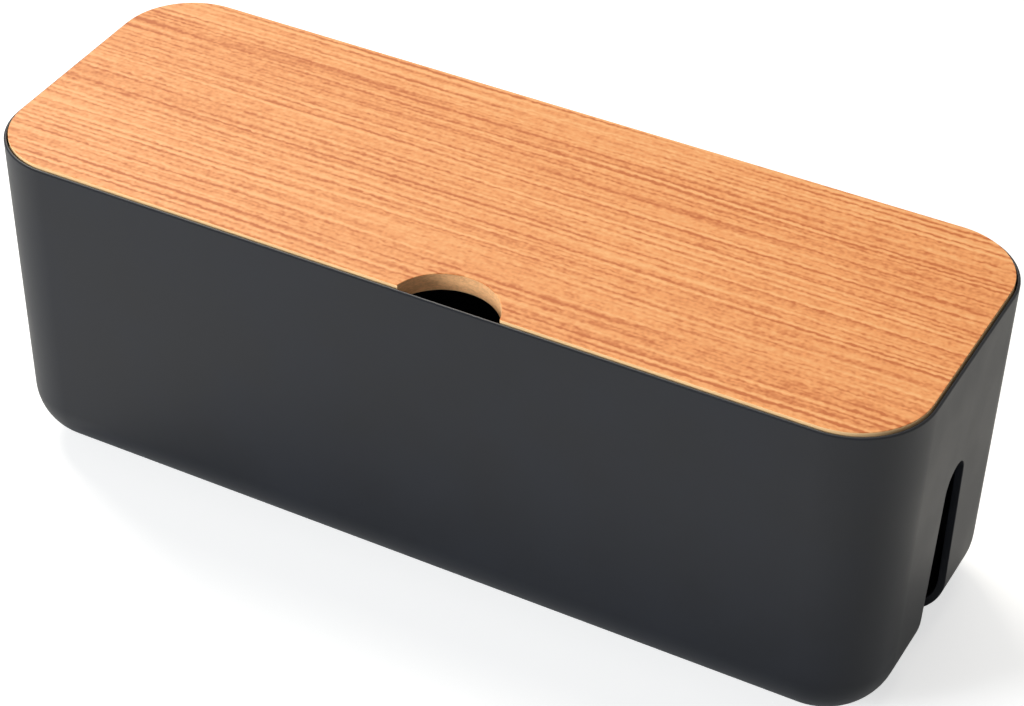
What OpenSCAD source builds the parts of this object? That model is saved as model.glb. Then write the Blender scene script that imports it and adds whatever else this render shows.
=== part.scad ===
// Cable management box: a moulded open-topped shell with arched cord slots in its two ends,
// a drop-in board lid with a finger notch, and four press-in feet.
// Millimetres. X runs along the box, the finger notch is on the -Y side, +Z is up.
// The origin is on the ground under the middle of the box.

/* [Shell] */
// Length of the shell over its rim
body_l = 400; // [320:5:480]
// Width of the shell over its rim
body_w = 143.5; // [120:0.5:190]
// Height of the shell from its underside to its rim
body_h = 148.5; // [110:0.5:180]
// Outer radius of the upright corners at the rim
corner_r = 33; // [26:0.5:45]
// Slope of every wall, narrowing towards the bottom, in degrees
draft = 1.6; // [0.4:0.1:2.2]
// Outer radius of the rolled edge between the walls and the floor
base_r = 25; // [8:0.5:28]
// Thickness of the walls below the lid
wall_t = 3.2; // [2.4:0.1:4.2]
// Thickness of the floor
floor_t = 3.2; // [2.6:0.1:5]

/* [Rim] */
// Thickness of the thin lip that stands around the lid
lip_t = 1.3; // [1:0.05:1.6]
// Radius along the outer top edge of the lip
lip_round = 0.9; // [0.3:0.05:0.95]
// Gap between the lip and the edge of the lid
lid_gap = 0.6; // [0.3:0.05:1]

/* [Cord slots] */
// Radius of the arch that closes a slot
slot_arch_r = 9.25; // [6:0.25:14]
// Height of the crown of the arch above the underside of the shell
slot_top = 94; // [60:0.5:115]
// Lean of a slot's two sides, wider towards the foot, in degrees
slot_lean = 3; // [0:0.1:5]
// Reach of a slot along the underside, in from the end of the shell
slot_reach = 30; // [28:0.5:34]

/* [Lid] */
// Overall thickness of the lid board
lid_t = 7.8; // [6:0.1:12]
// Height of the lid's top face above the rim
lid_proud = 1.4; // [0:0.1:2]
// Thickness of the wood veneer on the top face
face_t = 0.3; // [0.2:0.05:1]
// Thickness of the balancing veneer on the underside
back_t = 0.3; // [0.2:0.05:1]
// Thickness of the pale band around the core, between the two veneers
band_t = 0.6; // [0.4:0.05:1.5]

/* [Finger notch] */
// Radius of the notch
notch_r = 22.4; // [16:0.1:30]
// Depth of the notch behind the front edge of the lid
notch_depth = 17.5; // [10:0.5:20]
// Place of the notch along the lid, from the middle
notch_x = 17.6; // [-100:0.1:100]

/* [Feet] */
// Diameter of a foot
foot_d = 16; // [10:0.5:24]
// Height of a foot below the underside of the shell
foot_h = 1.5; // [1:0.1:4]
// Depth of the pocket that holds a foot
foot_pocket = 1.2; // [0.6:0.1:1.6]
// Gap around a foot in its pocket
foot_gap = 0.3; // [0.1:0.05:0.8]
// Chamfer around the tread of a foot
foot_chamfer = 0.7; // [0.3:0.1:1]
// Distance from the end of the shell to the middle of a foot
foot_inset_x = 46; // [42:1:100]
// Distance from the long side of the shell to the middle of a foot
foot_inset_y = 42; // [40:1:55]

/* [Hidden] */

$fn = 96;
over = 1;                                          // how far a cut runs past a face

// Worked-out sizes are kept to a thousandth of a millimetre, so that faces meet exactly.
function micron(v) = round(v * 1000) / 1000;

// The upright axis that each rounded corner turns about.
corner_x = body_l / 2 - corner_r;
corner_y = body_w / 2 - corner_r;

// Wall section, seen from a corner's axis: u runs outwards and z upwards from the underside.
// The outside leans in from the lip to the top of the roll, and turns under from there.
rim_z = body_h;
lip_z = rim_z - lip_round;
roll_slack = 0.5;                                  // flat left inside the tightest roll
roll_max = (corner_r - lip_z * tan(draft) - roll_slack) / (1 - tan(draft));
roll_r = min(base_r, floor(roll_max * 10) / 10);
wall_u = micron(corner_r - (lip_z - roll_r) * tan(draft));
roll_u = wall_u - roll_r;

// The cavity follows the outside, thinner by the wall at the sides and the floor below.
cavity_r = max(roll_r - wall_t, over);
cavity_z = floor_t + cavity_r;
cavity_u = micron(wall_u + (cavity_z - roll_r) * tan(draft) - wall_t);

// The lid lies on the ledge inside the lip, and stands a little proud of the rim.
seat_z = rim_z + lid_proud - lid_t;
seat_top_u = corner_r - lip_t;
seat_foot_u = micron(seat_top_u - (rim_z - seat_z) * tan(draft));
seat_wall_u = micron(cavity_u + (seat_z - cavity_z) * tan(draft));

// Outline of the lid board, over its band.
lid_l = body_l - 2 * (lip_t + lid_gap);
lid_w = body_w - 2 * (lip_t + lid_gap);
lid_r = corner_r - lip_t - lid_gap;
core_t = lid_t - face_t - back_t;
lid_z = foot_h + seat_z;                           // underside of the lid above the ground
notch_y = -lid_w / 2 + notch_depth - notch_r;

// A slot widens from the springing of its arch down to the underside.
arch_z = slot_top - slot_arch_r;
slot_foot_y = micron(slot_arch_r + (arch_z + over) * tan(slot_lean));

foot_x = body_l / 2 - foot_inset_x;
foot_y = body_w / 2 - foot_inset_y;
foot_t = foot_h + foot_pocket;

// Quarter of a disc, in the first quadrant.
module quarter(r) {
    intersection() {
        circle(r);
        square(2 * r);
    }
}

// The wall, its rolled foot and the floor as one section, with the ledge and lip at the rim.
module wall_section() {
    difference() {
        union() {
            polygon([
                [0, 0], [roll_u, 0], [roll_u, roll_r], [wall_u, roll_r], [corner_r, lip_z],
                [corner_r - lip_round, lip_z], [corner_r - lip_round, rim_z], [0, rim_z]
            ]);
            translate([roll_u, roll_r]) mirror([0, 1]) quarter(roll_r);
            translate([corner_r - lip_round, lip_z]) quarter(lip_round);
        }
        polygon([
            [-over, floor_t], [cavity_u - cavity_r, floor_t], [cavity_u - cavity_r, cavity_z],
            [cavity_u, cavity_z], [seat_wall_u, seat_z], [seat_foot_u, seat_z],
            [seat_top_u, rim_z], [seat_top_u, rim_z + over], [-over, rim_z + over]
        ]);
        translate([cavity_u - cavity_r, cavity_z]) mirror([0, 1]) quarter(cavity_r);
    }
}

// Open box: a quarter turn of the section at each corner, and straight runs of it between.
module open_box() {
    for (mx = [0, 1], my = [0, 1])
        mirror([mx, 0, 0]) mirror([0, my, 0])
            translate([corner_x, corner_y, 0]) rotate_extrude(angle = 90) wall_section();
    for (my = [0, 1])
        mirror([0, my, 0]) translate([-corner_x, corner_y, 0])
            rotate([90, 0, 90]) linear_extrude(2 * corner_x) wall_section();
    for (mx = [0, 1])
        mirror([mx, 0, 0]) translate([corner_x, corner_y, 0])
            rotate([90, 0, 0]) linear_extrude(2 * corner_y) wall_section();
    translate([-corner_x, -corner_y, 0]) cube([2 * corner_x, 2 * corner_y, floor_t]);
}

// Outline of a cord slot: it leaves the end wall through the rolled foot.
module slot_outline() {
    polygon([
        [-slot_foot_y, -over], [slot_foot_y, -over], [slot_arch_r, arch_z], [-slot_arch_r, arch_z]
    ]);
    translate([0, arch_z]) for (mx = [0, 1]) mirror([mx, 0]) quarter(slot_arch_r);
}

// Cut for one cord slot, from the flat of the floor out past the end wall.
module slot_cut() {
    translate([body_l / 2 - slot_reach, 0, 0]) rotate([90, 0, 90])
        linear_extrude(slot_reach + over) slot_outline();
}

// Rounded rectangle, square to the axes and centred.
module rounded_plate(l, w, r) {
    square([l, w - 2 * r], center = true);
    for (my = [0, 1])
        mirror([0, my]) {
            translate([r - l / 2, w / 2 - r]) square([l - 2 * r, r]);
            for (mx = [0, 1])
                mirror([mx, 0]) translate([l / 2 - r, w / 2 - r]) quarter(r);
        }
}

module notch_circle() {
    translate([notch_x, notch_y]) circle(notch_r);
}

// One layer of the board, set in from its outline, with the notch cut out.
module board_layer(z, t, inset = 0) {
    translate([0, 0, z]) linear_extrude(t) difference() {
        rounded_plate(lid_l - 2 * inset, lid_w - 2 * inset, lid_r - inset);
        notch_circle();
    }
}

module body_shell() {
    color([0.13, 0.13, 0.135]) translate([0, 0, foot_h]) difference() {
        open_box();
        for (mx = [0, 1]) mirror([mx, 0, 0]) slot_cut();
        for (mx = [0, 1], my = [0, 1])
            mirror([mx, 0, 0]) mirror([0, my, 0]) translate([foot_x, foot_y, -over])
                cylinder(h = foot_pocket + over, d = foot_d + 2 * foot_gap);
    }
}

module lid_back_veneer() {
    color([0.80, 0.68, 0.52]) board_layer(lid_z, back_t);
}

module lid_core() {
    color([0.72, 0.53, 0.36]) board_layer(lid_z + back_t, core_t, band_t);
}

module lid_face_veneer() {
    color([0.90, 0.62, 0.42]) board_layer(lid_z + back_t + core_t, face_t);
}

module lid_edge_band() {
    color([0.96, 0.82, 0.62]) translate([0, 0, lid_z + back_t]) linear_extrude(core_t) difference() {
        rounded_plate(lid_l, lid_w, lid_r);
        rounded_plate(lid_l - 2 * band_t, lid_w - 2 * band_t, lid_r - band_t);
        notch_circle();
    }
}

// Rubber foot, pressed flat against the top of its pocket, with a chamfered tread.
module foot(side_x, side_y) {
    color([0.10, 0.10, 0.10]) translate([side_x * foot_x, side_y * foot_y, 0]) {
        cylinder(h = foot_chamfer, d1 = foot_d - 2 * foot_chamfer, d2 = foot_d);
        translate([0, 0, foot_chamfer]) cylinder(h = foot_t - foot_chamfer, d = foot_d);
    }
}

body_shell();
lid_core();
lid_face_veneer();
lid_back_veneer();
lid_edge_band();
foot(-1, -1);  // foot_front_left
foot(1, -1);  // foot_front_right
foot(-1, 1);  // foot_rear_left
foot(1, 1);  // foot_rear_right
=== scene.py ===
import math

import bmesh
import bpy
from bpy.props import FloatProperty, FloatVectorProperty, IntProperty, PointerProperty
from mathutils import Matrix, Vector


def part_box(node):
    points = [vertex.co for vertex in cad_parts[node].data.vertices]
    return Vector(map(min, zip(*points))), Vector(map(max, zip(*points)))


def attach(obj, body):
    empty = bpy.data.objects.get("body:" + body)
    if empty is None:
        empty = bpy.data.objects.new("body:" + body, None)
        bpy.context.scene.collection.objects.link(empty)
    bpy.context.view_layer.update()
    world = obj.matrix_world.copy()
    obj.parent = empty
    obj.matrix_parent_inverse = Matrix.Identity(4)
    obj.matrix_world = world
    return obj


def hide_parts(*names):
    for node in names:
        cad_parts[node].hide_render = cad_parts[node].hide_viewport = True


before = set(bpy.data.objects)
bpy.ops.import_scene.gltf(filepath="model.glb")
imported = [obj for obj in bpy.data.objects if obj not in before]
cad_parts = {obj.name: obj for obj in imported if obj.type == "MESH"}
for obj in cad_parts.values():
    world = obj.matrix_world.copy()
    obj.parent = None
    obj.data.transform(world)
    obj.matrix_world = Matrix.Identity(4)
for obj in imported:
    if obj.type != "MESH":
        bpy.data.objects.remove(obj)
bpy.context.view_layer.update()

bl_info = {
    "name": "Cable Management Box",
    "version": (1, 0, 0),
    "blender": (4, 5, 0),
    "location": "View3D > Sidebar > Cable Box",
    "description": "Finished pieces of a moulded cable box with a wood-faced lid",
    "category": "Add Mesh",
}

SHELL_LOW, SHELL_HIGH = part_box("body_shell")
FACE_LOW, FACE_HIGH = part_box("lid_face_veneer")
CORE_LOW, CORE_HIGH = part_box("lid_core")
BAND_LOW, BAND_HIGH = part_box("lid_edge_band")
BACK_LOW, BACK_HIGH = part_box("lid_back_veneer")
FEET = ("foot_front_left", "foot_front_right", "foot_rear_left", "foot_rear_right")

# tolerances, in metres
TOUCH = 1e-6  # points nearer to each other than this are one
HAIR = 1e-7  # points nearer to a cut than this lie on it, and shorter edges are taken out

# turns, in degrees
FLAT_WALL = 0.05  # faces of the shell that turn less are joined
FLAT_BOARD = 0.5  # faces and edges of a board's outline that turn less are joined
BOARD_EDGE = 30  # edges of a veneer that turn more are eased
TREAD_EDGE = 20  # edges of a foot's tread that turn more are eased
SHARP = 35  # edges that turn more are shaded sharp

# steps of the curves
ROLL_STEPS = 18  # the quarter turn of the rolled edge
CORNER_STEPS = 26  # a corner of the shell
BOARD_STEPS = 24  # a corner of the lid
NOTCH_STEPS = 96  # the whole circle that the notch is cut with
ARCH_STEPS = 14  # half of a slot's arch
POCKET_STEPS = 48  # the whole circle of a foot's pocket
FOOT_STEPS = 64  # the whole circle of a foot

# Radii of the ring grooves in a foot's tread, as shares of the foot's radius.
GROOVE_RINGS = (0.36, 0.66)

# Waves that the grain is made of: how many to the metre along and across it, their share in the
# figure and where they start. A fifth number is the distance across the grain, in metres, at
# which the same wave is taken off again, so that only what changes within it is left.
GRAIN = (
    (4, 430, 0.58, 3, 0.0018),
    (7, 640, 0.95, 11, 0.0015),
    (1.5, 40, 0.48, 5),
    (3, 130, 0.30, 17),
    (18, 25, 0.14, 23),
    (45, 400, 0.28, 29),
    (110, 450, 0.28, 31),
    (220, 500, 0.34, 37),
    (400, 600, 0.42, 41),
    (700, 750, 0.52, 43),
)


# ---------------------------------------------------------------- settings

def rgb(red, green, blue):
    """Linear colour of an 8-bit display colour."""
    return tuple(
        v / 12.92 if v <= 0.04045 else ((v + 0.055) / 1.055) ** 2.4
        for v in (red / 255, green / 255, blue / 255)
    )


def length(name, description, default, low=0.0, high=1.0):
    return FloatProperty(
        name=name, description=description, default=default, min=low, max=high,
        precision=5, subtype="DISTANCE", unit="LENGTH",
    )


def angle(name, description, degrees, low=-180, high=180):
    return FloatProperty(
        name=name, description=description, default=math.radians(degrees),
        min=math.radians(low), max=math.radians(high), subtype="ANGLE",
    )


def colour(name, description, default):
    return FloatVectorProperty(
        name=name, description=description, default=default, min=0, max=1, size=3,
        subtype="COLOR",
    )


def share(name, description, default):
    return FloatProperty(
        name=name, description=description, default=default, min=0, max=1,
        subtype="FACTOR",
    )


def power(name, description, default):
    return FloatProperty(
        name=name, description=description, default=default, min=0, unit="POWER"
    )


class ShellSettings(bpy.types.PropertyGroup):
    """Sizes and colours of the moulded shell."""

    corner_radius: length("Corner Radius", "Radius of the upright corners at the rim", 0.033)
    draft: angle("Draft", "Slope of the walls", 1.6, 0, 4)
    foot_radius: length("Rolled Edge", "Outer radius where the walls turn under", 0.025)
    wall: length("Wall", "Thickness of the walls", 0.0032)
    floor: length("Floor", "Thickness of the floor", 0.0032)
    lip: length("Lip", "Thickness of the lip around the lid", 0.0013)
    lip_round: length("Lip Rounding", "Radius along the lip's outer edge", 0.0009)
    lip_inner_round: length("Inner Rounding", "Radius along the lip's inner edge", 0.00038)
    ledge_round: length("Ledge Rounding", "Radius along both sides of the lid's ledge", 0.0003)
    slot_radius: length("Slot Arch", "Radius of the arch of a cord slot", 0.00925)
    slot_top: length("Slot Top", "Height of a slot's crown above the underside", 0.094)
    slot_lean: angle("Slot Lean", "Lean of a slot's sides, wider at the foot", 3, 0, 8)
    slot_reach: length("Slot Reach", "Reach of a slot in from the end", 0.03)
    slot_round: length("Slot Rounding", "Radius along the edges of a slot", 0.0003)
    pocket_depth: length("Foot Pocket", "Depth of a foot's pocket", 0.0012)
    pocket_gap: length("Pocket Gap", "Gap around a foot in its pocket", 0.0003)
    pocket_round: length("Pocket Rounding", "Radius around the mouth of a pocket", 0.00025)
    plastic: colour("Plastic", "Colour of the moulded plastic", rgb(19, 22, 29))


class LidSettings(bpy.types.PropertyGroup):
    """Sizes and colours of the lid board."""

    corner_radius: length("Corner Radius", "Radius of the board's corners", 0.0311)
    notch_radius: length("Notch Radius", "Radius of the finger notch", 0.0224)
    notch_depth: length("Notch Depth", "Depth of the notch behind the front edge", 0.0175)
    notch_place: length("Notch Place", "Place of the notch along the lid", 0.0176, -0.1, 0.1)
    edge_round: length("Eased Edge", "Radius on the veneers' outer edges", 0.00022)
    wood: colour("Wood", "Main tone of the face veneer", rgb(243, 161, 95))
    band: colour("Edge Band", "Colour of the pale edge band", rgb(253, 208, 152))
    core: colour("Fibreboard", "Colour of the cut board in the notch", rgb(252, 190, 134))
    backing: colour("Backing", "Colour of the veneer underneath", rgb(214, 176, 132))


class FootSettings(bpy.types.PropertyGroup):
    """Sizes and colour of the four feet."""

    chamfer: length("Chamfer", "Chamfer around the tread", 0.0007)
    chamfer_round: length("Chamfer Rounding", "Radius along the chamfer's edges", 0.00018)
    groove: length("Groove", "Depth of the ring grooves in the tread", 0.00025)
    groove_mouth: length("Groove Mouth", "Width of a groove at the tread", 0.001)
    groove_bed: length("Groove Bed", "Width of a groove at its bed", 0.0006)
    rubber: colour("Rubber", "Colour of the feet", rgb(44, 44, 45))


class StageSettings(bpy.types.PropertyGroup):
    """Camera, floor and light."""

    azimuth: angle("Azimuth", "Direction the camera stands in", 29.856)
    elevation: angle("Elevation", "Height of the camera above the horizon", 37.869)
    roll: angle("Roll", "Turn of the camera about its line of sight", -0.309)
    distance: length("Distance", "Camera to the point it looks at", 1.22769, 0.1, 10)
    target: FloatVectorProperty(
        name="Target", description="Point the camera looks at", size=3, precision=5,
        default=(-0.034582, -0.017297, 0.06305), subtype="XYZ", unit="LENGTH",
    )
    focal_px: FloatProperty(
        name="Focal Length", description="Focal length in pixels of the frame",
        default=2997.4, min=100,
    )
    axis_px: FloatVectorProperty(
        name="Optical Axis", description="Pixel of the frame that the target falls on",
        size=2, default=(397.17, 371.53),
    )
    frame_width: IntProperty(
        name="Frame Width", description="Width of the picture in pixels", default=1024
    )
    frame_height: IntProperty(
        name="Frame Height", description="Height of the picture in pixels", default=706
    )
    floor: colour("Floor", "Colour of the floor", (0.78, 0.78, 0.77))
    floor_lift: share("Floor Lift", "Light of the floor's own, where 1 is white", 0.6)
    floor_in_gloss: share("Floor in Gloss", "Share of the floor's lift that gloss shows", 0.03)
    key: power("Key Lamp", "Power of the key lamp", 112.0)
    top: share("Top Lamp", "Power of the top lamp as a share of the key lamp's", 0.25)
    fill: power("Fill Lamp", "Power of the low lamp in front", 155.0)
    side: share("Side Lamp", "Power of the right lamp as a share of the fill lamp's", 0.15)
    surround: share("Surround", "Light from all around, where 1 is white", 0.12)
    white_in_gloss: share("White in Gloss", "Share of the white around that gloss shows", 0.4)


# ---------------------------------------------------------------- finishes

class Nodes:
    """Nodes of a material or a world, joined as they are made."""

    def __init__(self, owner):
        owner.use_nodes = True
        self.tree = owner.node_tree
        self.tree.nodes.clear()

    def add(self, kind, inputs=(), **settings):
        """Adds a node. An input is a value, or an output of another node to join it to."""
        made = self.tree.nodes.new(kind)
        for key, value in settings.items():
            setattr(made, key, value)
        for key, value in dict(inputs).items():
            if isinstance(value, bpy.types.NodeSocket):
                self.tree.links.new(value, made.inputs[key])
            else:
                made.inputs[key].default_value = value
        return made

    def math(self, operation, a, b=0.0):
        return self.add("ShaderNodeMath", {0: a, 1: b}, operation=operation).outputs[0]

    def backdrop(self, in_gloss):
        """1 where the camera sees the backdrop itself, in_gloss where gloss or glass does."""
        seen = self.add("ShaderNodeLightPath").outputs
        mirrored = self.math("MAXIMUM", seen["Is Glossy Ray"], seen["Is Transmission Ray"])
        return self.math(
            "MAXIMUM", seen["Is Camera Ray"], self.math("MULTIPLY", mirrored, in_gloss)
        )


class Finish(Nodes):
    """A material on object coordinates."""

    def __init__(self, name):
        self.material = bpy.data.materials.new(name)
        super().__init__(self.material)
        self.place = self.add("ShaderNodeTexCoord").outputs["Object"]

    def stretched(self, scale, shift=(0, 0, 0), place=None):
        """Coordinates for a pattern with so many waves to the metre, or so many on each axis."""
        scale = scale if isinstance(scale, tuple) else (scale,) * 3
        return self.add(
            "ShaderNodeMapping",
            {"Vector": place or self.place, "Scale": scale, "Location": shift},
        ).outputs[0]

    def noise(self, scale, detail=2.0, roughness=0.5, shift=(0, 0, 0), place=None):
        return self.add(
            "ShaderNodeTexNoise",
            {
                "Vector": self.stretched(scale, shift, place),
                "Scale": 1.0, "Detail": detail, "Roughness": roughness,
            },
        ).outputs["Fac"]

    def cells(self, scale):
        return self.add(
            "ShaderNodeTexVoronoi", {"Vector": self.stretched(scale), "Scale": 1.0}
        ).outputs["Distance"]

    def blend(self, a, share_a, b, share_b):
        """Sum of two values, each times its share."""
        return self.math(
            "ADD", self.math("MULTIPLY", a, share_a), self.math("MULTIPLY", b, share_b)
        )

    def ramp(self, value, to_low=0.0, to_high=1.0, low=0.3, high=0.7):
        """Smooth step between two levels of a value; most of a noise lies from 0.3 to 0.7."""
        return self.add(
            "ShaderNodeMapRange",
            {0: value, 1: low, 2: high, 3: to_low, 4: to_high},
            interpolation_type="SMOOTHSTEP",
        ).outputs[0]

    def mix(self, part, a, b):
        """Colour between a and b, each a tone or a node's output."""
        a, b = (c if isinstance(c, bpy.types.NodeSocket) else (*c, 1.0) for c in (a, b))
        return self.add("ShaderNodeMix", {0: part, 6: a, 7: b}, data_type="RGBA").outputs[2]

    def stops(self, value, colours):
        """Colour of a value between (position, colour) stops."""
        band = self.add("ShaderNodeValToRGB", {"Fac": value})
        elements = band.color_ramp.elements
        while len(elements) < len(colours):
            elements.new(0.5)
        for element, (position, tone) in zip(elements, colours):
            element.position = position
            element.color = (*tone, 1.0)
        return band.outputs["Color"]

    def bump(self, height, depth, strength):
        """Relief from a height between 0 and 1; depth is in metres."""
        return self.add(
            "ShaderNodeBump", {"Height": height, "Distance": depth, "Strength": strength}
        ).outputs[0]

    def done(self, **inputs):
        """The material, with the shader's inputs given by their names."""
        shader = self.add(
            "ShaderNodeBsdfPrincipled",
            {key.replace("_", " "): value for key, value in inputs.items()},
        )
        self.add("ShaderNodeOutputMaterial", {"Surface": shader.outputs[0]})
        return self.material


def shade(tone, factor):
    """A tone made lighter or darker, by one factor or by one for each channel."""
    factors = factor if isinstance(factor, tuple) else (factor,) * 3
    return tuple(min(1.0, c * k) for c, k in zip(tone, factors))


def satin_plastic(name, tone):
    """Moulded plastic with a fine spark-eroded texture."""
    f = Finish(name)
    cloud = f.noise(26, 4.0, 0.55)
    grain = f.noise(2300, 2.0, 0.6)
    pits = f.cells(1500)
    return f.done(
        Base_Color=f.mix(f.ramp(cloud), shade(tone, 0.85), shade(tone, 1.15)),
        Roughness=f.ramp(cloud, 0.37, 0.43),
        IOR=1.5,
        Normal=f.bump(f.blend(grain, 0.7, pits, 0.4), depth=0.00003, strength=0.6),
    )


def straight_grain(name, tone, strength=1.0):
    """Straight-grained veneer under a satin lacquer, in close streaks with ragged edges."""
    f = Finish(name)
    drift = f.noise((7, 20, 20), 1.0)
    ragged = f.noise((330, 400, 400), 1.0, shift=(3, 1, 7))
    waver = f.blend(
        f.math("SUBTRACT", drift, 0.5), 0.004, f.math("SUBTRACT", ragged, 0.5), 0.0015
    )
    aside = f.add("ShaderNodeCombineXYZ", {"Y": waver}).outputs[0]
    place = f.add(
        "ShaderNodeVectorMath", {0: f.place, 1: aside}, operation="ADD"
    ).outputs[0]

    level = 0.5
    for along, across, part, start, *apart in GRAIN:
        scale = (along, across, across)
        here = f.noise(scale, 0.0, shift=(start, start, 0), place=place)
        there = 0.5
        for distance in apart:
            moved = (start, start + across * distance, 0)
            there = f.noise(scale, 0.0, shift=moved, place=place)
        wave = f.math("MULTIPLY", f.math("SUBTRACT", here, there), part * strength)
        level = f.math("ADD", wave, level)
    grained = f.stops(level, (
        (0.0, shade(tone, (0.64, 0.41, 0.22))),
        (0.5, tone),
        (1.0, shade(tone, (1.2, 1.42, 1.75))),
    ))
    fibre = f.noise((120, 2600, 2600), 1.0, 0.6, place=place)
    relief = f.math("ADD", f.math("MULTIPLY", fibre, 0.3), level)
    return f.done(
        Base_Color=f.mix(f.ramp(fibre, 0.0, 0.12), grained, shade(tone, 0.6)),
        Roughness=f.ramp(level, 0.50, 0.40, low=0.2, high=0.8),
        IOR=1.5,
        Normal=f.bump(relief, depth=0.00006, strength=0.4),
    )


def pale_band(name, tone):
    """Thin pale veneer tape, its grain running round the board."""
    f = Finish(name)
    lines = f.noise((14, 14, 2600), 2.0, 0.6)
    ticks = f.noise(160)
    figure = f.ramp(f.blend(lines, 0.7, ticks, 0.3), low=0.35, high=0.65)
    return f.done(
        Base_Color=f.mix(figure, shade(tone, 0.88), shade(tone, 1.03)),
        Roughness=f.ramp(lines, 0.42, 0.5),
        IOR=1.5,
        Normal=f.bump(lines, depth=0.00003, strength=0.4),
    )


def fibreboard(name, tone):
    """Cut fibreboard: short matted fibres, a little darker in streaks."""
    f = Finish(name)
    mat = f.noise((700, 700, 1800), 3.0, 0.65)
    clump = f.noise((120, 120, 420), shift=(2, 5, 1))
    cut = f.blend(mat, 0.6, clump, 0.4)
    return f.done(
        Base_Color=f.mix(
            f.ramp(cut, low=0.36, high=0.64), shade(tone, 0.78), shade(tone, 1.06)
        ),
        Roughness=f.ramp(mat, 0.72, 0.85),
        IOR=1.45,
        Normal=f.bump(cut, depth=0.00008, strength=0.6),
    )


def matt_rubber(name, tone):
    """Matt rubber with a faint bloom."""
    f = Finish(name)
    bloom = f.noise(300, 3.0, 0.6)
    fine = f.noise(3000, 1.0)
    return f.done(
        Base_Color=f.mix(
            f.ramp(bloom, low=0.35, high=0.65), shade(tone, 0.8), shade(tone, 1.25)
        ),
        Roughness=f.ramp(bloom, 0.75, 0.9),
        IOR=1.5,
        Normal=f.bump(fine, depth=0.00003, strength=0.5),
    )


# ---------------------------------------------------------------- shop work

def pick(geom, kind):
    """The vertices, edges or faces of what an operator made."""
    return [g for g in geom if isinstance(g, kind)]


def merge(bm):
    """Joins points that lie in one place."""
    bmesh.ops.remove_doubles(bm, verts=bm.verts, dist=TOUCH)


def join_flat(bm, degrees):
    """Joins faces and edges that turn by less than an angle."""
    bmesh.ops.dissolve_limit(
        bm, angle_limit=math.radians(degrees), use_dissolve_boundaries=False,
        verts=bm.verts, edges=bm.edges,
    )


def ease(bm, edges, radius, steps=3, affect="EDGES", clamp=True):
    """Rounds edges to a radius; as vertices, corners are rounded from that far off."""
    bmesh.ops.bevel(
        bm, geom=edges, affect=affect, offset=radius, offset_type="OFFSET",
        segments=steps, profile=0.5, material=-1, clamp_overlap=clamp,
    )


def round_corner(bm, corner, radius, steps):
    """Rounds one corner of a flat outline to a radius."""
    ways = [e.other_vert(corner).co - corner.co for e in corner.link_edges]
    turn = math.pi - ways[0].angle(ways[1])
    ease(bm, [corner], radius * math.tan(turn / 2), steps, affect="VERTICES", clamp=False)


def run_straight(bm, edges, move):
    """Draws edges out in a straight run, and returns them at its end."""
    drawn = bmesh.ops.extrude_edge_only(bm, edges=edges)["geom"]
    bmesh.ops.translate(bm, verts=pick(drawn, bmesh.types.BMVert), vec=move)
    return pick(drawn, bmesh.types.BMEdge)


def cut_out(bm, faces, planes):
    """Splits faces along planes, each a point and its outward direction.

    Returns the faces that lie inside every plane.
    """
    inside = list(faces)
    for point, outward in planes:
        around = dict.fromkeys(g for f in inside for g in (f, *f.edges, *f.verts))
        cut = bmesh.ops.bisect_plane(
            bm, geom=list(around), dist=HAIR, plane_co=point, plane_no=outward
        )
        inside = [
            f for f in pick(cut["geom"], bmesh.types.BMFace)
            if (f.calc_center_median() - point).dot(outward) < 0
        ]
    return inside


def circle_planes(centre, radius, steps):
    """Planes along the chords of an upright round hole."""
    planes = []
    for k in range(steps):
        a = 2 * math.pi * (k + 0.5) / steps
        out = Vector((math.cos(a), math.sin(a), 0))
        planes.append((centre + out * radius * math.cos(math.pi / steps), out))
    return planes


def finish_piece(bm, name, body, node, material):
    """Makes a piece of closed mesh work, and puts it on its body in place of its node."""
    bmesh.ops.recalc_face_normals(bm, faces=bm.faces)
    if any(not e.is_manifold for e in bm.edges):
        raise RuntimeError(name + " isn't closed")
    mesh = bpy.data.meshes.new(name)
    bm.to_mesh(mesh)
    bm.free()
    mesh.polygons.foreach_set("use_smooth", [True] * len(mesh.polygons))
    mesh.set_sharp_from_angle(angle=math.radians(SHARP))
    mesh.materials.append(material)
    piece = bpy.data.objects.new(name, mesh)
    bpy.context.scene.collection.objects.link(piece)
    weigh = piece.modifiers.new("even_shading", "WEIGHTED_NORMAL")
    weigh.keep_sharp = True
    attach(piece, body)
    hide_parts(node)


# ---------------------------------------------------------------- shell

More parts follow.
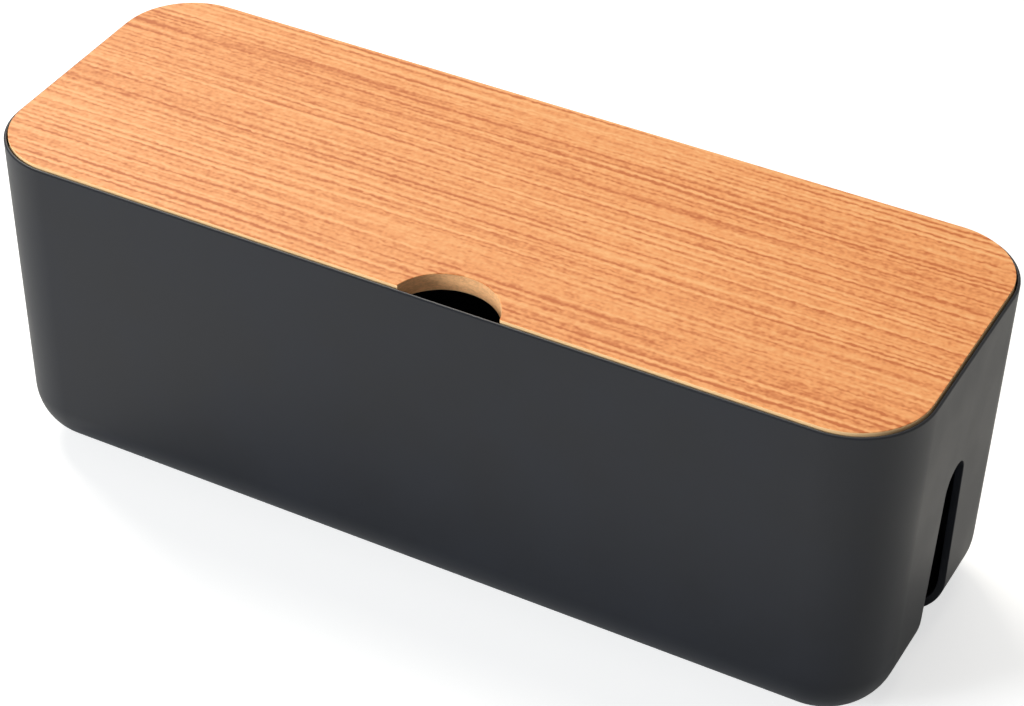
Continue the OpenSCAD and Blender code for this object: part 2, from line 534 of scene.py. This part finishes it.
def wall_section(bm, s):
    """Section of the wall at a corner's axis, and that axis.

    Its edges run out from the axis under the floor, up the wall, over the rim and back to the
    axis above the floor.
    """
    slope = math.tan(s.draft)
    under, rim, ledge = SHELL_LOW.z, SHELL_HIGH.z, BACK_LOW.z
    floor = under + s.floor
    lip = s.corner_radius - s.lip
    axis_x = SHELL_HIGH.x - s.corner_radius
    axis_y = SHELL_HIGH.y - s.corner_radius

    def outer(z):
        return s.corner_radius - (rim - s.lip_round - z) * slope

    points = [
        (0, under), (outer(under), under), (outer(rim), rim), (lip, rim),
        (lip - (rim - ledge) * slope, ledge), (outer(ledge) - s.wall, ledge),
        (outer(floor) - s.wall, floor), (0, floor),
    ]
    verts = [bm.verts.new((axis_x + u, axis_y, z)) for u, z in points]
    bm.faces.new(verts)
    roundings = (
        (s.foot_radius, ROLL_STEPS), (s.lip_round, 5), (s.lip_inner_round, 3),
        (s.ledge_round, 2), (s.ledge_round, 2), (s.foot_radius - s.wall, ROLL_STEPS),
    )
    for corner, (radius, steps) in zip(verts[1:], roundings):
        round_corner(bm, corner, radius, steps)
    bmesh.ops.delete(bm, geom=list(bm.faces), context="FACES_ONLY")
    on_axis = [e for e in bm.edges if all(abs(v.co.x - axis_x) < TOUCH for v in e.verts)]
    bmesh.ops.delete(bm, geom=on_axis, context="EDGES")
    return list(bm.edges), Vector((axis_x, axis_y, 0))


def grow_floor(bm, s, axis):
    """Runs the flat of the floor, above and below, out from the corner's axis."""
    inward = [
        e for e in bm.edges
        if all(abs(v.co.x - axis.x) < TOUCH for v in e.verts)
        and abs(e.verts[0].co.y - e.verts[1].co.y) > axis.y / 2
        and max(v.co.z for v in e.verts) < SHELL_LOW.z + 2 * s.floor
        and e.is_boundary
    ]
    if len(inward) != 2:
        raise RuntimeError("the floor has no edge to grow from")
    run_straight(bm, inward, (-axis.x, 0, 0))
    merge(bm)


def slot_planes(s):
    """Planes round half of a cord slot in the right-hand end."""
    arch = Vector((0, 0, SHELL_LOW.z + s.slot_top - s.slot_radius))
    side = Vector((0, math.cos(s.slot_lean), math.sin(s.slot_lean)))
    planes = [
        (Vector((SHELL_HIGH.x - s.slot_reach, 0, 0)), Vector((-1, 0, 0))),
        (arch + Vector((0, s.slot_radius, 0)), side),
    ]
    for k in range(ARCH_STEPS):
        a = math.pi / 2 * (k + 0.5) / ARCH_STEPS
        out = Vector((0, math.cos(a), math.sin(a)))
        chord = s.slot_radius * math.cos(math.pi / 4 / ARCH_STEPS)
        planes.append((arch + out * chord, out))
    return planes


def cut_slot(bm, s, axis):
    """Cuts half of the right-hand cord slot out of the straight of the end."""
    straight = axis.y - 1e-4  # short of the first facet of the corner
    end_wall = [
        f for f in bm.faces
        if f.calc_center_median().x > axis.x and f.calc_center_median().y < straight
    ]
    bmesh.ops.delete(bm, geom=cut_out(bm, end_wall, slot_planes(s)), context="FACES")


def sink_pocket(bm, s, axis):
    """Sinks the rear right foot's pocket into the underside."""
    low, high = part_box("foot_rear_right")
    middle = Vector(((low.x + high.x) / 2, (low.y + high.y) / 2, 0))
    radius = (high.x - low.x) / 2 + s.pocket_gap
    underside = [
        f for f in bm.faces
        if f.calc_center_median().x < axis.x and f.calc_center_median().y < axis.y
        and abs(f.calc_center_median().z - SHELL_LOW.z) < TOUCH
    ]
    hole = cut_out(bm, underside, circle_planes(middle, radius, POCKET_STEPS))
    mouth = [e for f in hole for e in f.edges if sum(g in hole for g in e.link_faces) == 1]
    bmesh.ops.delete(bm, geom=hole, context="FACES_ONLY")
    top = run_straight(bm, mouth, (0, 0, s.pocket_depth))
    bmesh.ops.contextual_create(bm, geom=top)
    ease(bm, mouth, s.pocket_round, 2, clamp=False)


def close_slots(bm, s):
    """Makes the cheeks of the slots, between the outside and the inside of the wall."""
    for side in (1, -1):
        rims = [e for e in bm.edges if e.is_boundary and e.verts[0].co.x * side > 0]
        if not bmesh.ops.bridge_loops(bm, edges=rims)["faces"]:
            raise RuntimeError("a cord slot has no cheeks")
        bmesh.ops.recalc_face_normals(bm, faces=bm.faces)
        ease(bm, [e for e in rims if e.is_valid], s.slot_round)


def make_shell(s):
    """Shell whose wall is turned at a corner and run straight, made as a quarter and mirrored."""
    bm = bmesh.new()
    section, axis = wall_section(bm, s)
    turned = bmesh.ops.spin(
        bm, geom=section + list(bm.verts), cent=axis, axis=(0, 0, 1),
        angle=math.pi / 2, steps=CORNER_STEPS, use_merge=False,
    )["geom_last"]
    run_straight(bm, section, (0, -axis.y, 0))
    run_straight(bm, pick(turned, bmesh.types.BMEdge), (-axis.x, 0, 0))
    merge(bm)
    grow_floor(bm, s, axis)
    cut_slot(bm, s, axis)
    sink_pocket(bm, s, axis)
    for way in ("X", "Y"):
        bmesh.ops.mirror(
            bm, geom=list(bm.verts) + list(bm.edges) + list(bm.faces),
            matrix=Matrix.Identity(4), merge_dist=TOUCH, axis=way,
        )
    merge(bm)
    join_flat(bm, FLAT_WALL)
    close_slots(bm, s)
    return bm


# ---------------------------------------------------------------- lid

def board_outline(bm, high, radius, z):
    """Rounded board as one flat face."""
    corners = ((-1, -1), (1, -1), (1, 1), (-1, 1))
    verts = [bm.verts.new((x * high.x, y * high.y, z)) for x, y in corners]
    bm.faces.new(verts)
    for corner in verts:
        round_corner(bm, corner, radius, BOARD_STEPS)


def cut_notch(bm, s):
    """Cuts the finger notch through whatever lies flat in the mesh."""
    centre = Vector((s.notch_place, FACE_LOW.y + s.notch_depth - s.notch_radius, 0))
    waste = cut_out(bm, list(bm.faces), circle_planes(centre, s.notch_radius, NOTCH_STEPS))
    bmesh.ops.delete(bm, geom=waste, context="FACES")
    join_flat(bm, FLAT_BOARD)


def thicken(bm, thickness):
    """Raises flat faces to a solid."""
    raised = bmesh.ops.extrude_face_region(
        bm, geom=list(bm.faces), use_keep_orig=True
    )["geom"]
    bmesh.ops.translate(bm, verts=pick(raised, bmesh.types.BMVert), vec=(0, 0, thickness))


def make_layer(s, low, high, eased=None):
    """One layer of the board; eased is the level whose outer edge and notch are rounded."""
    bm = bmesh.new()
    inset = FACE_HIGH.x - high.x
    board_outline(bm, high, s.corner_radius - inset, low.z)
    cut_notch(bm, s)
    thicken(bm, high.z - low.z)
    if eased is not None:
        ease(bm, [
            e for e in bm.edges
            if all(abs(v.co.z - eased) < TOUCH for v in e.verts)
            and e.calc_face_angle() > math.radians(BOARD_EDGE)
        ], s.edge_round)
    return bm


def make_band(s):
    """Band round the core, between the two veneers, that ends at the notch."""
    bm = bmesh.new()
    board_outline(bm, BAND_HIGH, s.corner_radius, BAND_LOW.z)
    board = list(bm.faces)
    bmesh.ops.inset_region(
        bm, faces=board, thickness=BAND_HIGH.x - CORE_HIGH.x, use_even_offset=True,
        use_boundary=True,
    )
    bmesh.ops.delete(bm, geom=board, context="FACES")
    cut_notch(bm, s)
    thicken(bm, BAND_HIGH.z - BAND_LOW.z)
    return bm


# ---------------------------------------------------------------- feet

def make_foot(s, low, high):
    """Round foot with ring grooves in its tread, turned about its middle."""
    bm = bmesh.new()
    x, y = (low.x + high.x) / 2, (low.y + high.y) / 2
    radius = (high.x - low.x) / 2
    tread, bed, shoulder = low.z, low.z + s.groove, low.z + s.chamfer
    flat = radius - s.chamfer
    profile = [(0, tread)]
    for ring in GROOVE_RINGS:
        u = radius * ring
        profile += [
            (u - s.groove_mouth / 2, tread), (u - s.groove_bed / 2, bed),
            (u + s.groove_bed / 2, bed), (u + s.groove_mouth / 2, tread),
        ]
    profile += [(flat, tread), (radius, shoulder), (radius, high.z), (0, high.z)]
    verts = [bm.verts.new((x + u, y, z)) for u, z in profile]
    edges = [bm.edges.new(pair) for pair in zip(verts, verts[1:])]
    bmesh.ops.spin(
        bm, geom=verts + edges, cent=(x, y, 0), axis=(0, 0, 1), angle=2 * math.pi,
        steps=FOOT_STEPS, use_merge=True,
    )
    merge(bm)
    bmesh.ops.dissolve_degenerate(bm, dist=HAIR, edges=bm.edges)
    ease(bm, [
        e for e in bm.edges
        if len(e.link_faces) == 2 and e.calc_face_angle() > math.radians(TREAD_EDGE)
        and max(v.co.z for v in e.verts) < shoulder + TOUCH
        and min((v.co.xy - Vector((x, y))).length for v in e.verts) > flat - TOUCH
    ], s.chamfer_round, 2)
    return bm


# ---------------------------------------------------------------- stage

def set_camera(context, s):
    """Camera that looks at the target, with its frame shifted off the optical axis."""
    a, e = s.azimuth, s.elevation
    back = Vector((math.sin(a) * math.cos(e), -math.cos(a) * math.cos(e), math.sin(e)))
    level_right = (-back).cross(Vector((0, 0, 1))).normalized()
    level_up = level_right.cross(-back)
    right = math.cos(s.roll) * level_right + math.sin(s.roll) * level_up
    up = -math.sin(s.roll) * level_right + math.cos(s.roll) * level_up

    data = bpy.data.cameras.new("camera")
    data.sensor_fit = "HORIZONTAL"
    data.sensor_width = 36
    data.lens = s.focal_px / s.frame_width * data.sensor_width
    data.shift_x = (s.frame_width / 2 - s.axis_px[0]) / s.frame_width
    data.shift_y = (s.axis_px[1] - s.frame_height / 2) / s.frame_width
    data.clip_start, data.clip_end = 0.01, 50
    camera = bpy.data.objects.new("camera", data)
    context.scene.collection.objects.link(camera)
    turn = Matrix((right, up, back)).transposed().to_4x4()
    place = Vector(s.target) + back * s.distance
    camera.matrix_world = Matrix.Translation(place) @ turn
    context.scene.camera = camera


def lay_floor(context, s):
    """Pale floor that shows as white where nothing shades it."""
    bm = bmesh.new()
    bmesh.ops.create_grid(bm, x_segments=1, y_segments=1, size=6)
    mesh = bpy.data.meshes.new("studio_floor")
    bm.to_mesh(mesh)
    bm.free()
    floor = bpy.data.objects.new("studio_floor", mesh)
    context.scene.collection.objects.link(floor)
    white = bpy.data.materials.new("white_floor")
    n = Nodes(white)
    matt = n.add("ShaderNodeBsdfDiffuse", {"Color": (*s.floor, 1)})
    lift = n.math("MULTIPLY", n.backdrop(s.floor_in_gloss), s.floor_lift)
    glow = n.add("ShaderNodeEmission", {"Strength": lift})
    both = n.add("ShaderNodeAddShader", {0: matt.outputs[0], 1: glow.outputs[0]})
    n.add("ShaderNodeOutputMaterial", {"Surface": both.outputs[0]})
    mesh.materials.append(white)


def add_lamp(context, name, place, size, power, tone, shines):
    """Square soft lamp, aimed at the box; one that doesn't shine stays out of its gloss."""
    aim, place = Vector((0, 0, 0.05)), Vector(place)
    data = bpy.data.lights.new(name, "AREA")
    data.shape = "RECTANGLE"
    data.size = data.size_y = size
    data.energy = power
    data.color = tone
    lamp = bpy.data.objects.new(name, data)
    context.scene.collection.objects.link(lamp)
    turn = (aim - place).to_track_quat("-Z", "Y").to_matrix().to_4x4()
    lamp.matrix_world = Matrix.Translation(place) @ turn
    lamp.visible_camera = False
    lamp.visible_glossy = shines


def set_light(context, s):
    """Soft key from behind on the left, a lamp overhead, two fills in front and a surround."""
    warm, cool = (1.0, 0.96, 0.88), (0.93, 0.965, 1.0)
    for lamp in (  # name, place, size, power, tone and whether gloss shows it
        ("key", (-2.2, 1.5, 3.4), 1.8, s.key, warm, True),
        ("top", (0, 1.2, 3.9), 1.8, s.top * s.key, warm, True),
        ("fill", (-2.4, -3.0, 1.0), 1.2, s.fill, cool, False),
        ("side", (1.4, -3.2, 2.6), 1.2, s.side * s.fill, cool, False),
    ):
        add_lamp(context, *lamp)
    world = bpy.data.worlds.new("surround")
    n = Nodes(world)
    white = n.backdrop(s.white_in_gloss)
    strength = n.add("ShaderNodeMix", {0: white, 2: s.surround, 3: 1.0}).outputs[0]
    sky = n.add("ShaderNodeBackground", {"Color": (1, 1, 1, 1), "Strength": strength})
    n.add("ShaderNodeOutputWorld", {"Surface": sky.outputs[0]})
    context.scene.world = world


# ---------------------------------------------------------------- operators

class CABLEBOX_OT_shell(bpy.types.Operator):
    """Mould the shell: drafted walls, rolled foot, lid ledge and cord slots"""

    bl_idname = "cablebox.shell"
    bl_label = "Moulded Shell"

    def execute(self, context):
        s = context.scene.cable_box_shell
        finish_piece(
            make_shell(s), "moulded_shell", "box", "body_shell",
            satin_plastic("satin_black_plastic", s.plastic),
        )
        return {"FINISHED"}


class CABLEBOX_OT_board(bpy.types.Operator):
    """Cut the lid's board and lay its two veneers"""

    bl_idname = "cablebox.board"
    bl_label = "Lid Board"

    def execute(self, context):
        s = context.scene.cable_box_lid
        finish_piece(
            make_layer(s, FACE_LOW, FACE_HIGH, FACE_HIGH.z), "grained_face", "lid",
            "lid_face_veneer", straight_grain("satin_wood_veneer", s.wood),
        )
        finish_piece(
            make_layer(s, CORE_LOW, CORE_HIGH), "board", "lid",
            "lid_core", fibreboard("cut_fibreboard", s.core),
        )
        finish_piece(
            make_layer(s, BACK_LOW, BACK_HIGH, BACK_LOW.z), "plain_backing", "lid",
            "lid_back_veneer",
            straight_grain("plain_backing_veneer", s.backing, 0.5),
        )
        return {"FINISHED"}


class CABLEBOX_OT_band(bpy.types.Operator):
    """Wrap the pale band round the lid's edge"""

    bl_idname = "cablebox.band"
    bl_label = "Edge Band"

    def execute(self, context):
        s = context.scene.cable_box_lid
        finish_piece(
            make_band(s), "pale_band", "lid", "lid_edge_band",
            pale_band("pale_edge_tape", s.band),
        )
        return {"FINISHED"}


class CABLEBOX_OT_feet(bpy.types.Operator):
    """Turn the four rubber feet"""

    bl_idname = "cablebox.feet"
    bl_label = "Rubber Feet"

    def execute(self, context):
        s = context.scene.cable_box_feet
        material = matt_rubber("matt_rubber", s.rubber)
        for node in FEET:
            finish_piece(
                make_foot(s, *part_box(node)), node.replace("foot", "rubber_foot"), "box",
                node, material,
            )
        return {"FINISHED"}


class CABLEBOX_OT_stage(bpy.types.Operator):
    """Set up the floor, the light and the camera"""

    bl_idname = "cablebox.stage"
    bl_label = "Stage"

    def execute(self, context):
        s = context.scene.cable_box_stage
        set_camera(context, s)
        lay_floor(context, s)
        set_light(context, s)
        context.scene.view_settings.view_transform = "Standard"
        return {"FINISHED"}


# Settings, and the operators that make something from them.
STEPS = (
    ("cable_box_shell", ShellSettings, (CABLEBOX_OT_shell,)),
    ("cable_box_lid", LidSettings, (CABLEBOX_OT_board, CABLEBOX_OT_band)),
    ("cable_box_feet", FootSettings, (CABLEBOX_OT_feet,)),
    ("cable_box_stage", StageSettings, (CABLEBOX_OT_stage,)),
)


class CABLEBOX_PT_sidebar(bpy.types.Panel):
    """Pieces of the cable box and the settings they are made from"""

    bl_idname = "CABLEBOX_PT_sidebar"
    bl_label = "Cable Management Box"
    bl_space_type = "VIEW_3D"
    bl_region_type = "UI"
    bl_category = "Cable Box"

    def draw(self, context):
        for group, _, operators in STEPS:
            box = self.layout.box()
            for operator in operators:
                box.operator(operator.bl_idname)
            settings = getattr(context.scene, group)
            for name in settings.__annotations__:
                box.prop(settings, name)


CLASSES = (
    *(settings for _, settings, _ in STEPS),
    *(operator for _, _, operators in STEPS for operator in operators),
    CABLEBOX_PT_sidebar,
)


def register():
    for c in CLASSES:
        bpy.utils.register_class(c)
    for group, settings, _ in STEPS:
        setattr(bpy.types.Scene, group, PointerProperty(type=settings))


def unregister():
    for group, _, _ in STEPS:
        delattr(bpy.types.Scene, group)
    for c in reversed(CLASSES):
        bpy.utils.unregister_class(c)


def main():
    register()
    bpy.ops.cablebox.stage()
    bpy.ops.cablebox.shell()
    bpy.ops.cablebox.board()
    bpy.ops.cablebox.band()
    bpy.ops.cablebox.feet()


if __name__ == "__main__":
    main()
